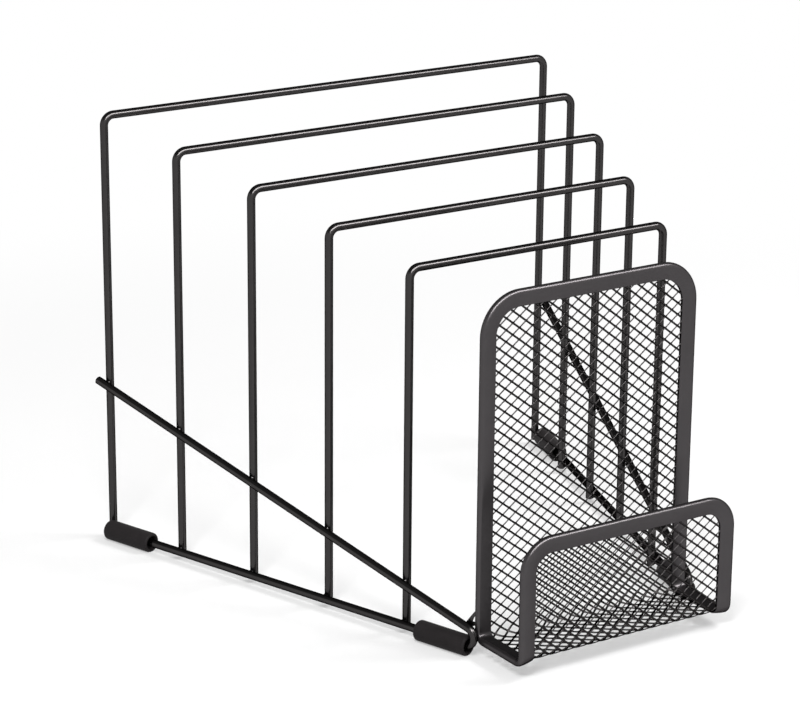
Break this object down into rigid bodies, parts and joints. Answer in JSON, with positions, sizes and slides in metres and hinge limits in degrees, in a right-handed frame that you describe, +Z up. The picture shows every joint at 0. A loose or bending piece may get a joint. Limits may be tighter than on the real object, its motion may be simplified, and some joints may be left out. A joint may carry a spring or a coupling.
{
  "type": "desktop envelope sorter",
  "caption": "Desktop wire rack that stands envelopes between tapering loop dividers, with a fixed expanded-metal pocket at the front.",
  "frame": {"origin": "on the table plane, under the centre of the sorter's box", "axes": "+Z up; +X to the right of someone who faces the pocket; the pocket faces -Y and the tallest divider stands at +Y"},
  "size_m": [0.2782, 0.2616, 0.2197],
  "materials": {
    "wire_coat": "satin black powder coat on welded steel wire",
    "rim_coat": "satin charcoal powder coat on folded sheet steel",
    "mesh_coat": "satin black powder coat on expanded sheet steel",
    "sleeve_rubber": "matte black rubber"
  },
  "bodies": {
    "root": {"divider_rear": "wire_coat", "divider_second": "wire_coat", "divider_middle": "wire_coat", "divider_fourth": "wire_coat", "divider_front": "wire_coat", "side_frame_left": "wire_coat", "side_frame_right": "wire_coat", "foot_sleeve_rear_left": "sleeve_rubber", "foot_sleeve_rear_right": "sleeve_rubber", "foot_sleeve_front_left": "sleeve_rubber", "foot_sleeve_front_right": "sleeve_rubber", "pocket_rim": "rim_coat", "mesh_back_inner": "mesh_coat", "mesh_back_outer": "mesh_coat", "mesh_floor_inner": "mesh_coat", "mesh_floor_outer": "mesh_coat", "mesh_lip_inner": "mesh_coat", "mesh_lip_outer": "mesh_coat", "weld_web_left": "wire_coat", "weld_web_right": "wire_coat"}
  },
  "joints": []
}
